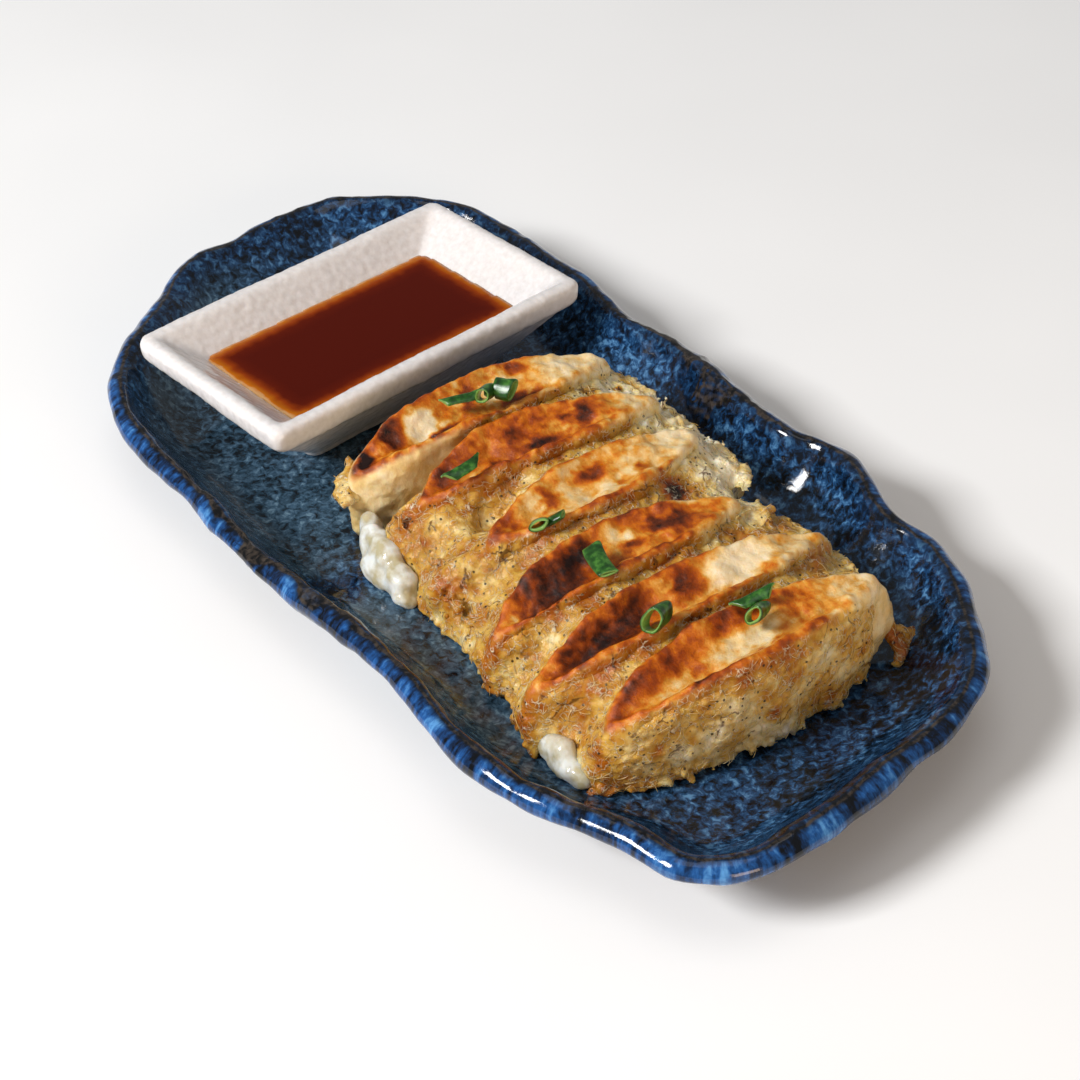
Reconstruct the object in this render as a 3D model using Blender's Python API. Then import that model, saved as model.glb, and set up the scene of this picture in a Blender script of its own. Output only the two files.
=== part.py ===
"""Six pan-fried gyoza on a long hand-shaped plate, with a square-cornered dish of dipping sauce.

Frame: +X runs along the plate, +Y across it, +Z up. The origin is under the middle of the
plate, on the surface that it stands on. All sizes are in metres.
"""

import math

import bmesh
import bpy
from mathutils import Vector

MM = 0.001
CLEARANCE = 0.3 * MM

# Plate: a slab with a raised, wavy rim and a foot ring.
PLATE_HALF_LENGTH = 149.0 * MM
PLATE_FLOOR_Z = 7.0 * MM
PLATE_CREST_Z = 22.0 * MM
PLATE_STEPS = 96
RIM_EDGE = 5.0 * MM
RIM_WAVE = 0.7 * MM
UNWAVED_HEIGHT = 8.0
WALL_RUN = 15.0 * MM
WALL_RUN_EXTRA_AT_ENDS = 9.0 * MM

# The crest of the rim, counter-clockwise from the corner below the sauce dish, in mm.
RIM_CREST = [
    (-111, -46), (-97, -58), (-76, -65.5), (-45, -66), (-10, -67), (20, -65), (50, -64),
    (82, -66.5), (103, -62), (120, -53.5), (135.5, -50.5), (143, -40), (144, -20), (140, 3),
    (137.5, 20), (130, 36), (110, 51), (91, 60), (76, 58.5), (63, 63.5), (48, 68), (36, 62.5),
    (20, 63), (-4, 65.5), (-22, 66), (-36, 64), (-60, 66.5), (-96, 66), (-116, 61), (-132, 46.5),
    (-143, 34), (-142, 18), (-140, 0), (-136, -18), (-121, -33),
]

# Rim and underside, from the crest outwards and down: distance out from the crest, height.
RIM_OUTSIDE = [
    (1.4, 21.9), (3.2, 21.1), (4.4, 19.8), (4.6, 18.3), (3.4, 16.5), (0.8, 14.6), (-5.0, 10.0),
    (-12.0, 4.8), (-17.0, 2.5), (-18.0, 0.4), (-18.6, 0.0), (-23.0, 0.0), (-24.0, 1.5),
]

# Inner wall, from the crest down to the floor: share of the wall's run, share of its height.
RIM_INSIDE = [(0.0, 1.0), (0.08, 0.93), (0.22, 0.66), (0.42, 0.38), (0.68, 0.12), (1.0, 0.0)]

# Sauce dish, from the middle of its foot: half width, half length, corner radius, height above
# the plate's floor. The list runs up the outside, over the lip and down the inside.
DISH_CENTRE = (-70.9 * MM, 1.9 * MM)
DISH_TURN = math.radians(5.5)
DISH_HEIGHT = 25.0 * MM
DISH_CORNER_STEPS = 4
DISH_RINGS = [
    (17.8, 32.6, 3.0, 0.0), (18.4, 33.2, 3.0, 0.6), (18.7, 33.5, 3.0, 2.4), (20.2, 35.5, 3.0, 4.0),
    (29.0, 48.8, 3.0, 16.2), (31.6, 51.4, 3.0, 18.2), (32.2, 52.0, 3.0, 19.4),
    (32.4, 52.3, 2.8, 23.0), (31.9, 51.8, 2.6, 24.4), (30.7, 50.6, 2.4, 25.0),
    (29.2, 49.1, 2.2, 25.0), (28.0, 47.9, 2.0, 24.4), (26.9, 46.6, 2.0, 23.2),
    (21.2, 38.3, 2.2, 16.6), (14.4, 30.2, 2.8, 8.0), (12.8, 28.4, 2.8, 6.4), (11.2, 26.6, 2.4, 6.0),
]
DISH_FIRST_INNER_RING = 12
SAUCE_DEPTH_BELOW_RIM = 8.0 * MM

# Gyoza: turned over, so the flat fried base faces up and the pleated side is below.
GYOZA_TOP_Z = 35.0 * MM
GYOZA_STEPS = 44
GYOZA_TIP_POWER = 1.72

# Levels of a gyoza, bottom to top: share of height, share of half length, share of half width.
GYOZA_LEVELS = [
    (0.00, 0.93, 0.78), (0.03, 0.98, 0.90), (0.14, 1.02, 1.02), (0.32, 1.04, 1.07),
    (0.52, 1.05, 1.08), (0.72, 1.04, 1.06), (0.87, 1.02, 1.03), (0.95, 1.01, 1.00),
    (1.00, 0.97, 0.94),
]

# One row for each piece: x, y of its middle, angle of its length from +X, length, width,
# sideways bow, slope of the fried face down towards +X, drop of its -Y tip, drop of its +Y tip.
GYOZA = [
    (-11.9, 0.0, 87.0, 76, 19.6, 1.3, 0.04, 9.0, 3.0),
    (9.4, 3.0, 83.5, 68, 18.2, 1.4, 0.04, 9.0, 3.0),
    (31.6, 4.2, 91.0, 64, 19.0, -2.0, 0.02, 6.0, 3.0),
    (58.4, -9.5, 88.0, 71, 18.0, 1.4, 0.04, 10.0, 3.5),
    (79.2, -8.0, 88.0, 82, 16.4, -0.4, 0.04, 10.0, 4.0),
    (99.8, -6.0, 87.0, 76, 18.4, 0.0, 0.04, 10.0, 2.5),
]
RIGHT_END_REACH = 0.07

PLEAT_DEPTH = 0.7 * MM
PLEAT_SPACING = 9.0 * MM


def clear_scene():
    """Remove whatever the file opened with."""
    for obj in list(bpy.data.objects):
        bpy.data.objects.remove(obj, do_unlink=True)


def finish(name, colour, roughness):
    """A plain Principled material."""
    material = bpy.data.materials.new(name)
    material.use_nodes = True
    shader = material.node_tree.nodes["Principled BSDF"]
    shader.inputs["Base Color"].default_value = (*colour, 1.0)
    shader.inputs["Roughness"].default_value = roughness
    shader.inputs["Metallic"].default_value = 0.0
    return material


def solid_from_rings(name, rings, material):
    """Join rings of equal length into one closed solid, with a flat cap on the first and last."""
    shape = bmesh.new()
    loops = [[shape.verts.new(point) for point in ring] for ring in rings]
    count = len(rings[0])
    for lower, upper in zip(loops, loops[1:]):
        for i in range(count):
            j = (i + 1) % count
            shape.faces.new((lower[i], lower[j], upper[j], upper[i]))
    shape.faces.new(list(reversed(loops[0])))
    shape.faces.new(loops[-1])
    bmesh.ops.recalc_face_normals(shape, faces=shape.faces)
    mesh = bpy.data.meshes.new(name)
    shape.to_mesh(mesh)
    shape.free()
    mesh.materials.append(material)
    mesh.shade_smooth()
    obj = bpy.data.objects.new(name, mesh)
    bpy.context.scene.collection.objects.link(obj)
    return obj


def smooth_closed_curve(points, count):
    """Points evenly spaced along a closed Catmull-Rom curve through the given ones."""
    dense = []
    pieces = 24
    total = len(points)
    for i in range(total):
        p0, p1, p2, p3 = (Vector(points[(i + k - 1) % total]) for k in range(4))
        for step in range(pieces):
            t = step / pieces
            dense.append(0.5 * (2 * p1 + (p2 - p0) * t + (2 * p0 - 5 * p1 + 4 * p2 - p3) * t * t
                                + (3 * p1 - p0 - 3 * p2 + p3) * t ** 3))
    lengths = [0.0]
    for i in range(len(dense)):
        lengths.append(lengths[-1] + (dense[(i + 1) % len(dense)] - dense[i]).length)
    even = []
    place = 0
    for k in range(count):
        target = lengths[-1] * k / count
        while lengths[place + 1] < target:
            place += 1
        share = (target - lengths[place]) / (lengths[place + 1] - lengths[place])
        even.append(dense[place].lerp(dense[(place + 1) % len(dense)], share))
    return even


def outward_directions(outline, reach):
    """Unit vectors out of a counter-clockwise outline, eased over a few neighbours."""
    count = len(outline)
    directions = []
    for i in range(count):
        along = outline[(i + reach) % count] - outline[(i - reach) % count]
        directions.append(Vector((along.y, -along.x)).normalized())
    return directions


def make_plate(material):
    """Floor, concave wall, wavy crest, bevelled edge and foot ring, as one loft."""
    crest = [point * MM for point in smooth_closed_curve(RIM_CREST, PLATE_STEPS)]
    near = outward_directions(crest, 2)
    wide = outward_directions(crest, 7)

    def wave(i):
        angle = math.tau * i / PLATE_STEPS
        return RIM_WAVE * (math.sin(5 * angle + 0.6) + 0.6 * math.sin(11 * angle))

    def wall_run(i):
        end_on = abs(crest[i].x) / (PLATE_HALF_LENGTH - RIM_EDGE)
        return WALL_RUN + WALL_RUN_EXTRA_AT_ENDS * end_on ** 3

    rings = []
    for out, height in reversed(RIM_OUTSIDE):
        directions = wide if out < -RIM_EDGE / MM else near
        fade = max(0.0, (height - UNWAVED_HEIGHT) / (PLATE_CREST_Z / MM - UNWAVED_HEIGHT))
        ring = []
        for i in range(PLATE_STEPS):
            place = crest[i] + directions[i] * out * MM
            ring.append((place.x, place.y, height * MM + wave(i) * fade))
        rings.append(ring)
    for run_share, height_share in RIM_INSIDE:
        ring = []
        for i in range(PLATE_STEPS):
            place = crest[i] - near[i].lerp(wide[i], run_share) * wall_run(i) * run_share
            rise = PLATE_CREST_Z + wave(i) - PLATE_FLOOR_Z
            ring.append((place.x, place.y, PLATE_FLOOR_Z + rise * height_share))
        rings.append(ring)
    plate = solid_from_rings("plate", rings, material)
    xs = [point[0] for ring in rings for point in ring]
    ys = [point[1] for ring in rings for point in ring]
    plate.location = (-(min(xs) + max(xs)) / 2, -(min(ys) + max(ys)) / 2, 0.0)
    return plate


def rounded_rectangle(half_x, half_y, radius, z):
    """Counter-clockwise outline with round corners."""
    points = []
    for quarter, (sign_x, sign_y) in enumerate([(1, 1), (-1, 1), (-1, -1), (1, -1)]):
        for step in range(DISH_CORNER_STEPS + 1):
            angle = math.radians(90) * (quarter + step / DISH_CORNER_STEPS)
            x = sign_x * (half_x - radius) + radius * math.cos(angle)
            y = sign_y * (half_y - radius) + radius * math.sin(angle)
            points.append((x, y, z))
    return points


def stand_on_floor(obj):
    """Set a piece of the sauce dish in its place on the plate."""
    obj.location = (*DISH_CENTRE, PLATE_FLOOR_Z)
    obj.rotation_euler = (0.0, 0.0, DISH_TURN)


def make_sauce_dish(material):
    """Foot, sloped body, thick lip and sloped inside, as one loft."""
    rings = []
    for half_x, half_y, radius, height in DISH_RINGS:
        z = max(height * MM, CLEARANCE)
        rings.append(rounded_rectangle(half_x * MM, half_y * MM, radius * MM, z))
    dish = solid_from_rings("sauce_dish", rings, material)
    stand_on_floor(dish)
    return dish


def make_sauce(material):
    """The dip, from the dish's floor up to its level, clear of the dish all round."""
    level = DISH_HEIGHT - SAUCE_DEPTH_BELOW_RIM
    inside = DISH_RINGS[DISH_FIRST_INNER_RING:]
    rings = []
    for half_x, half_y, radius, height in reversed(inside[1:]):
        if height * MM < level - 1 * MM:
            rings.append(rounded_rectangle(half_x * MM - 1.2 * CLEARANCE, half_y * MM - 1.2 * CLEARANCE,
                                           radius * MM, height * MM + 1.2 * CLEARANCE))
    top, shoulder = inside[0], inside[1]
    share = (level / MM - shoulder[3]) / (top[3] - shoulder[3])
    half_x = shoulder[0] + (top[0] - shoulder[0]) * share
    half_y = shoulder[1] + (top[1] - shoulder[1]) * share
    rings.append(rounded_rectangle(half_x * MM - 1.8 * CLEARANCE, half_y * MM - 1.8 * CLEARANCE,
                                   shoulder[2] * MM, level))
    sauce = solid_from_rings("dipping_sauce", rings, material)
    stand_on_floor(sauce)
    return sauce


def crescent_point(turn, half_length, half_width, bow):
    """A point of a lens-shaped outline whose middle is bowed towards -X."""
    c, s = math.cos(turn), math.sin(turn)
    power = 2 / GYOZA_TIP_POWER
    along = half_length * math.copysign(abs(c) ** power, c)
    across = half_width * math.copysign(abs(s) ** power, s)
    return -across - bow * (1 - (along / half_length) ** 2), along


def make_gyoza(number, row, material):
    """A crescent dumpling lying on its pleats, as a stack of outlines."""
    x, y, angle, length, width, bow, slope, left_drop, right_drop = row
    bottom = PLATE_FLOOR_Z + CLEARANCE
    half_length = length * MM / 2
    half_width = width * MM / 2
    rings = []
    for level, length_share, width_share in GYOZA_LEVELS:
        ring = []
        for i in range(GYOZA_STEPS):
            across, along = crescent_point(math.tau * i / GYOZA_STEPS, half_length * length_share,
                                           half_width * width_share, bow * MM)
            end = along / half_length
            along += half_length * RIGHT_END_REACH * math.sin(math.pi * level) * max(0.0, end) ** 2
            drop = (left_drop if end < 0 else right_drop) * MM * abs(end) ** 2.6
            top = GYOZA_TOP_Z - drop - slope * across
            pleat = math.cos(math.tau * along / PLEAT_SPACING + number) * (across < 0)
            across += PLEAT_DEPTH * pleat * max(0.0, math.sin(math.pi * min(1.0, level / 0.7)))
            ring.append((across, along, bottom + (top - bottom) * level))
        rings.append(ring)
    dumpling = solid_from_rings(f"gyoza_{number}", rings, material)
    dumpling.location = (x * MM, y * MM, 0.0)
    dumpling.rotation_euler = (0.0, 0.0, math.radians(angle - 90))
    return dumpling


def main():
    clear_scene()
    glaze = finish("blue_glazed_stoneware", (0.012, 0.035, 0.090), 0.15)
    porcelain = finish("white_glazed_porcelain", (0.80, 0.77, 0.73), 0.18)
    dip = finish("dark_dipping_sauce", (0.065, 0.007, 0.003), 0.08)
    wrapper = finish("fried_gyoza_wrapper", (0.62, 0.34, 0.11), 0.45)
    make_plate(glaze)
    make_sauce_dish(porcelain)
    make_sauce(dip)
    for number, row in enumerate(GYOZA, start=1):
        make_gyoza(number, row, wrapper)


main()
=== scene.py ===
# %% [markdown]
# # A plate of pan-fried gyoza
#
# Six dumplings lie in a row on a long blue plate, joined by a thin crisp lace of batter.
# A small white dish of dip stands at the plate's end. The lesson goes from the outside in:
# helpers, light and camera, the plate, the dish and its dip, the dumplings, the lace between
# them, and last the small toppings. Every length in the tables is in millimetres.

import math
import random

import bpy
import numpy as np
from mathutils import Matrix, Vector, noise
from mathutils.bvhtree import BVHTree


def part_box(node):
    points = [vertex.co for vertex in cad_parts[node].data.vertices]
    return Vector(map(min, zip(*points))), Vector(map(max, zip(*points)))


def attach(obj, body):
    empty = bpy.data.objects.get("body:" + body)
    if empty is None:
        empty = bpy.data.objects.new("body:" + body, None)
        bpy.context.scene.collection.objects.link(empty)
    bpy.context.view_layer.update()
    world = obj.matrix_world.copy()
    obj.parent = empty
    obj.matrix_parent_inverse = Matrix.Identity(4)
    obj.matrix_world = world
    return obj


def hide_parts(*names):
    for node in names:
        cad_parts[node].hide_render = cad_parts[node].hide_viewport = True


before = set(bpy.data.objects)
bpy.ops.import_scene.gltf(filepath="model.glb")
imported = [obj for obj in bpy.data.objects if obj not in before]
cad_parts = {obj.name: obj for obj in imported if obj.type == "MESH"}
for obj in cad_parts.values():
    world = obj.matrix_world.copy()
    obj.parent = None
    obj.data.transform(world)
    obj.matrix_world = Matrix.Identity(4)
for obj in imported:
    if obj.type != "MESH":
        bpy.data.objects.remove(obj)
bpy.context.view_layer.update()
MM = 0.001
random.seed(7)
print("loaded", sorted(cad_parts))

# %% [markdown]
# ## Helpers
#
# Blender's operators act on whatever is selected, so each helper first selects one object
# only. A colour is written as the hex value an artist knows, and turned into the linear
# numbers that a shader works in.


# %% Helpers for selecting and editing
def only(obj):
    """Make obj the one selected and active object."""
    if bpy.context.object and bpy.context.object.mode != "OBJECT":
        bpy.ops.object.mode_set(mode="OBJECT")
    bpy.ops.object.select_all(action="DESELECT")
    obj.select_set(True)
    bpy.context.view_layer.objects.active = obj
    return obj


def edit_all(obj):
    """Open obj in edit mode, all of it selected."""
    only(obj)
    bpy.ops.object.mode_set(mode="EDIT")
    bpy.ops.mesh.select_all(action="SELECT")


def end_edit():
    bpy.ops.object.mode_set(mode="OBJECT")


def apply_place(obj):
    """Move an object's place, turn and scale into its mesh."""
    only(obj)
    bpy.ops.object.transform_apply(location=True, rotation=True, scale=True)


def modify(obj, kind, **settings):
    """Add one modifier and apply it."""
    only(obj)
    modifier = obj.modifiers.new(kind.title(), kind)
    for key, value in settings.items():
        setattr(modifier, key, value)
    bpy.ops.object.modifier_apply(modifier=modifier.name)
    return obj


def lumps(name, kind, size_mm, **settings):
    """A procedural texture for Displace, with lumps of about size_mm."""
    texture = bpy.data.textures.new(name, kind)
    texture.noise_scale = size_mm * MM
    for key, value in settings.items():
        setattr(texture, key, value)
    return texture


# %% Helper for a copy of CAD nodes
WELD = 0.02  # points closer than this become one


def copy_of(nodes, name):
    """One new mesh from copies of CAD nodes, welded and back to quads."""
    bpy.ops.object.select_all(action="DESELECT")
    copies = []
    for node in nodes:
        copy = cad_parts[node].copy()
        copy.data = copy.data.copy()
        copy.parent = None
        for key in [k for k in copy.keys() if k.startswith("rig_")]:
            del copy[key]
        bpy.context.scene.collection.objects.link(copy)
        copy.hide_viewport = copy.hide_render = False
        copy.hide_set(False)
        copies.append(copy)
    only(copies[0])
    for copy in copies:
        copy.select_set(True)
    if len(copies) > 1:
        bpy.ops.object.join()
    obj = bpy.context.object
    obj.name = name
    edit_all(obj)
    bpy.ops.mesh.remove_doubles(threshold=WELD * MM)
    bpy.ops.mesh.tris_convert_to_quads()
    end_edit()
    return obj


# %% Helpers for points
def points_of(obj):
    """All vertex places in millimetres."""
    flat = np.zeros(len(obj.data.vertices) * 3)
    obj.data.vertices.foreach_get("co", flat)
    return flat.reshape(-1, 3) / MM


def place_points(obj, points):
    """Put the vertices at these places, in millimetres."""
    obj.data.vertices.foreach_set("co", (points * MM).ravel())
    obj.data.update()


def normals_of(obj):
    """The outward direction at every vertex."""
    flat = np.zeros(len(obj.data.vertices) * 3)
    obj.data.vertices.foreach_get("normal", flat)
    return flat.reshape(-1, 3)


def paint(obj, name, values):
    """Store one number per vertex for the material to read."""
    layer = obj.data.attributes.get(name) or obj.data.attributes.new(name, "FLOAT", "POINT")
    layer.data.foreach_set("value", np.asarray(values, np.float32))


def weigh(obj, name, values):
    """A vertex group that tells a modifier where it works."""
    group = obj.vertex_groups.get(name) or obj.vertex_groups.new(name=name)
    for index, value in enumerate(values):
        group.add([index], float(value), "REPLACE")


# %% Helpers for noise and for finishing a piece
def wander(points, size_mm, seed):
    """Smooth noise from -1 to 1 at each point, with waves of about size_mm."""
    shift = Vector((seed * 17.3, seed * 5.1, seed * 9.7))
    return np.array([noise.noise(Vector(p) / size_mm + shift) for p in points]) * 1.6


def step(low, high, values):
    """0 below low, 1 above high, smooth in between."""
    t = np.clip((values - low) / (high - low), 0, 1)
    return t * t * (3 - 2 * t)


def piece(obj, name, material, replaces=()):
    """Name a finished piece, give it its finish and say what it rides on and replaces."""
    apply_place(obj)
    obj.name = obj.data.name = name
    obj.data.materials.clear()
    obj.data.materials.append(material)
    bpy.ops.object.shade_smooth()
    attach(obj, "root")
    if replaces:
        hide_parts(*replaces)
    print(name, len(obj.data.polygons), "faces")
    return obj


# %% Helpers for materials
def linear(colour):
    """sRGB hex to the linear colour of a shader socket."""
    parts = [int(colour[i : i + 2], 16) / 255 for i in (1, 3, 5)]
    return (*[c / 12.92 if c <= 0.04045 else ((c + 0.055) / 1.055) ** 2.4 for c in parts], 1.0)


FACTOR, COLOUR_A, COLOUR_B = 0, 6, 7  # inputs of a Mix node set to colour
MIXED = {"FLOAT": 0, "VECTOR": 1, "RGBA": 2}  # the output of a Mix node, by what it mixes


def result(node):
    """The output that the next node reads."""
    return node.outputs[MIXED[node.data_type] if node.type == "MIX" else 0]


def set_inputs(tree, node, inputs):
    """Set a node's inputs to numbers, colours in hex, or what a node or socket gives."""
    for key, value in inputs.items():
        value = result(value) if isinstance(value, bpy.types.Node) else value
        if isinstance(value, bpy.types.NodeSocket):
            tree.links.new(value, node.inputs[key])
        else:
            node.inputs[key].default_value = linear(value) if isinstance(value, str) else value


def add(tree, kind, inputs=None, stops=None, **settings):
    """Add a node with its settings, its inputs, and the stops of its colour ramp."""
    node = tree.nodes.new("ShaderNode" + kind)
    for key, value in settings.items():
        setattr(node, key, value)
    set_inputs(tree, node, inputs or {})
    if stops:
        elements = node.color_ramp.elements
        while len(elements) < len(stops):
            elements.new(0.5)
        for element, (place, colour) in zip(elements, stops):
            grey = not isinstance(colour, str)
            element.position = place
            element.color = (colour, colour, colour, 1) if grey else linear(colour)
    return node


def new_material(name):
    """An empty material: its tree, its shader and the coordinates its patterns read."""
    material = bpy.data.materials.new(name)
    material.use_nodes = True
    tree = material.node_tree
    shader = tree.nodes["Principled BSDF"]
    where = add(tree, "TexCoord").outputs["Object"]
    return material, tree, shader, where


def per_mm(size_mm):
    """Pattern scale for features of about size_mm, as coordinates are in metres."""
    return 1000 / size_mm


# %% [markdown]
# ## Light, camera and floor
#
# Food is lit softly from one side, so crusts and glaze show their relief. The strongest lamp
# stands high beyond the -Y side and makes the long white lights on the rim. A weak one
# straight above opens the gaps between the dumplings, a warm one low beyond the free end
# fills their sides, and the pale world lifts the shadows.

# %% Camera
AZIMUTH, ELEVATION, ROLL = math.radians(55.887), math.radians(38.163), math.radians(-3.0)
CAMERA_PLACE = Vector((0.39498, -0.25890, 0.36673))
LENS, SENSOR = 76.67, 36
flat_reach = math.cos(ELEVATION)
back = Vector(
    (math.sin(AZIMUTH) * flat_reach, -math.cos(AZIMUTH) * flat_reach, math.sin(ELEVATION))
)
level = Vector((math.cos(AZIMUTH), math.sin(AZIMUTH), 0))
upward = back.cross(level)
right = level * math.cos(ROLL) + upward * math.sin(ROLL)
up = upward * math.cos(ROLL) - level * math.sin(ROLL)
bpy.ops.object.camera_add()
camera = bpy.context.object
turned = Matrix((right, up, back)).transposed().to_4x4()
camera.matrix_world = Matrix.Translation(CAMERA_PLACE) @ turned
camera.data.lens, camera.data.sensor_width = LENS, SENSOR
bpy.context.scene.camera = camera
bpy.context.scene.view_settings.view_transform = "Standard"
print("camera", camera.location)

# %% Lamps
# name, place (m), size (m), watts, colour
LAMPS = [
    ("key", (-0.25, -1.35, 1.1), 0.5, 31.0, "#ffffff"),
    ("top", (0.05, -0.05, 1.2), 0.7, 1.4, "#ffffff"),
    ("fill", (1.2, -0.25, 0.34), 0.5, 5.2, "#ffe0bd"),
]
for name, place, size, watts, colour in LAMPS:
    bpy.ops.object.light_add(type="AREA", location=place)
    lamp = bpy.context.object
    lamp.name = "lamp_" + name
    lamp.data.size = size
    lamp.data.energy = watts
    lamp.data.color = linear(colour)[:3]
    lamp.rotation_euler = (-Vector(place)).to_track_quat("-Z", "Y").to_euler()
WORLD_STRENGTH = 0.22
world = bpy.data.worlds.new("studio")
bpy.context.scene.world = world
world.use_nodes = True
sky = world.node_tree.nodes["Background"]
set_inputs(world.node_tree, sky, {"Color": "#ffffff", "Strength": WORLD_STRENGTH})
print("lamps", [name for name, *_ in LAMPS])

# %% Floor
floor_material, tree, shader, where = new_material("white_painted_board")
grain = add(tree, "TexNoise", {"Vector": where, "Scale": per_mm(120), "Detail": 2.0})
tint = add(tree, "ValToRGB", {0: grain}, stops=[(0.3, "#fbfbfb"), (0.7, "#ffffff")])
set_inputs(tree, shader, {"Base Color": tint, "Roughness": 0.7})
FLOOR_SIZE = 4.0  # metres
bpy.ops.mesh.primitive_plane_add(size=FLOOR_SIZE)
floor = bpy.context.object
floor.name = "floor"
floor.data.materials.append(floor_material)
print("floor", floor.dimensions)

# %% [markdown]
# ## The plate
#
# A hand-shaped stoneware plate: its wall was pinched into waves, and the glaze ran off the
# crest, so the crest is thin and brown and the hollows are thick and blue. It could be
# thrown as a profile and bent, but the CAD solid already has the outline, so a copy of it
# is subdivided, and the rim alone gets its small waves and beads from Displace modifiers.
# First the crest, the rim's highest line, is found, because both follow it.

# %% The plate's crest
plate = copy_of(["plate"], "plate_work")
modify(plate, "SUBSURF", levels=2, render_levels=2)
spots = points_of(plate)
turn = np.arctan2(spots[:, 1], spots[:, 0])
RIM_BINS = 480  # slices round the plate, each with one crest point
FINER = 6  # crest points drawn between two slices
bins = ((turn + math.pi) / math.tau * RIM_BINS).astype(int) % RIM_BINS
crest = []
for number in range(RIM_BINS):
    inside = np.nonzero(bins == number)[0]
    if len(inside):
        crest.append(spots[inside[spots[inside, 2].argmax()]])
crest = np.array(crest)
crest = crest[np.argsort(np.arctan2(crest[:, 1], crest[:, 0]))]
fine = np.linspace(0, len(crest), len(crest) * FINER, endpoint=False)
steps = np.arange(len(crest))
crest = np.stack([np.interp(fine, steps, crest[:, axis], period=len(steps)) for axis in (0, 1)], 1)
crest_turn = np.arctan2(crest[:, 1], crest[:, 0])
crest_reach = np.hypot(crest[:, 0], crest[:, 1])
print("crest points", len(crest))


# %% Plate shape
BLOCK = 2000  # points measured at a time, to save memory


def from_crest(points):
    """Millimetres out from the crest, negative towards the middle, and the nearest crest point."""
    gap, nearest = np.empty(len(points)), np.empty((len(points), 2))
    for start in range(0, len(points), BLOCK):
        block = points[start : start + BLOCK]
        squares = ((block[:, None, :2] - crest[None]) ** 2).sum(2)
        gap[start : start + BLOCK] = np.sqrt(squares.min(1))
        nearest[start : start + BLOCK] = crest[squares.argmin(1)]
    turn = np.arctan2(points[:, 1], points[:, 0])
    reach = np.interp(turn, crest_turn, crest_reach, period=math.tau)
    return gap * np.sign(np.hypot(points[:, 0], points[:, 1]) - reach), nearest


out, _ = from_crest(spots)
# how far from the crest each reaches, its width and its height
PINCHED, BEADED = (7, 14, 2.4), (1.8, 2.6, 0.9)
for group, (reach, width, height) in (("rim", PINCHED), ("crest", BEADED)):
    weigh(plate, group, np.exp(-((out / reach) ** 2)))
    relief = lumps(group + "_relief", "CLOUDS", width, noise_depth=1)
    settings = {"strength": height * MM, "mid_level": 0.5, "vertex_group": group}
    modify(plate, "DISPLACE", texture=relief, **settings)
spots = points_of(plate)
spots[:, 2] = np.maximum(spots[:, 2], 0)  # the foot stays flat on the table
place_points(plate, spots)

# %% Numbers that the glaze reads
COMB = 0.35  # a streak of glaze is this share as wide, along the rim, as it is long
out, nearest = from_crest(spots)
paint(plate, "out", out / 100 + 0.5)
# painted reflection: strong grey-teal on the near floor stands in for a soft lamp reflection
painted_reflection_side = step(118, 70, spots[:, 0]) * step(15, -20, spots[:, 1])
# the rest of the floor gets a fifth of the grey-teal, as pooled glaze
paint(plate, "pool_and_sheen", step(-2, -9, out) * (0.2 + 0.8 * painted_reflection_side))
combed = plate.data.attributes.new("combed", "FLOAT_VECTOR", "POINT")
combed.data.foreach_set("vector", (np.c_[nearest, out * COMB] * MM).astype(np.float32).ravel())
print("plate", len(plate.data.polygons), "faces, crest at 0, middle at", out.min(), "mm")

# %% [markdown]
# ### Its glaze
#
# Reduction-fired blue glaze on stoneware: thick it is navy with paler flakes that floated
# up, thin on the crest it lets the brown clay through. A number painted on each point says
# how far it is from the crest; colour ramps on that number place the brown line, the bright
# blue bevel and the dark flank. Noise of about 2 mm makes the flakes. On the bevel the glaze
# ran outwards, so there the noise reads combed coordinates, stretched away from the crest.

# %% Glaze on the floor and the wall
glaze, tree, shader, where = new_material("stoneware_reduction_blue_glaze")
out_node = add(tree, "Attribute", attribute_name="out").outputs["Fac"]
pool_and_sheen_node = add(tree, "Attribute", attribute_name="pool_and_sheen").outputs["Fac"]
combed_node = add(tree, "Attribute", attribute_name="combed").outputs["Vector"]
flakes = add(
    tree, "TexNoise",
    {"Vector": where, "Scale": per_mm(2.1), "Detail": 4.0, "Roughness": 0.62, "Distortion": 0.5},
)
clouds = add(tree, "TexNoise", {"Vector": where, "Scale": per_mm(26), "Detail": 3.0})
drift = add(tree, "Math", {0: clouds, 1: 0.34, 2: flakes}, operation="MULTIPLY_ADD")
# grey-teal of pooled glaze, which on the near floor is also a painted reflection
pooled_and_sheen = add(
    tree, "ValToRGB", {0: drift},
    stops=[(0.5, "#0c141b"), (0.6, "#253b4b"), (0.74, "#446179"), (0.86, "#7190a4")],
)
running = add(
    tree, "ValToRGB", {0: drift},
    stops=[(0.54, "#040810"), (0.63, "#0b2039"), (0.73, "#1d4672"), (0.86, "#5488b6")],
)
body_colour = add(
    tree, "Mix", {FACTOR: pool_and_sheen_node, COLOUR_A: running, COLOUR_B: pooled_and_sheen}, data_type="RGBA"
)
print("floor and wall", len(tree.nodes), "nodes")

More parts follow.
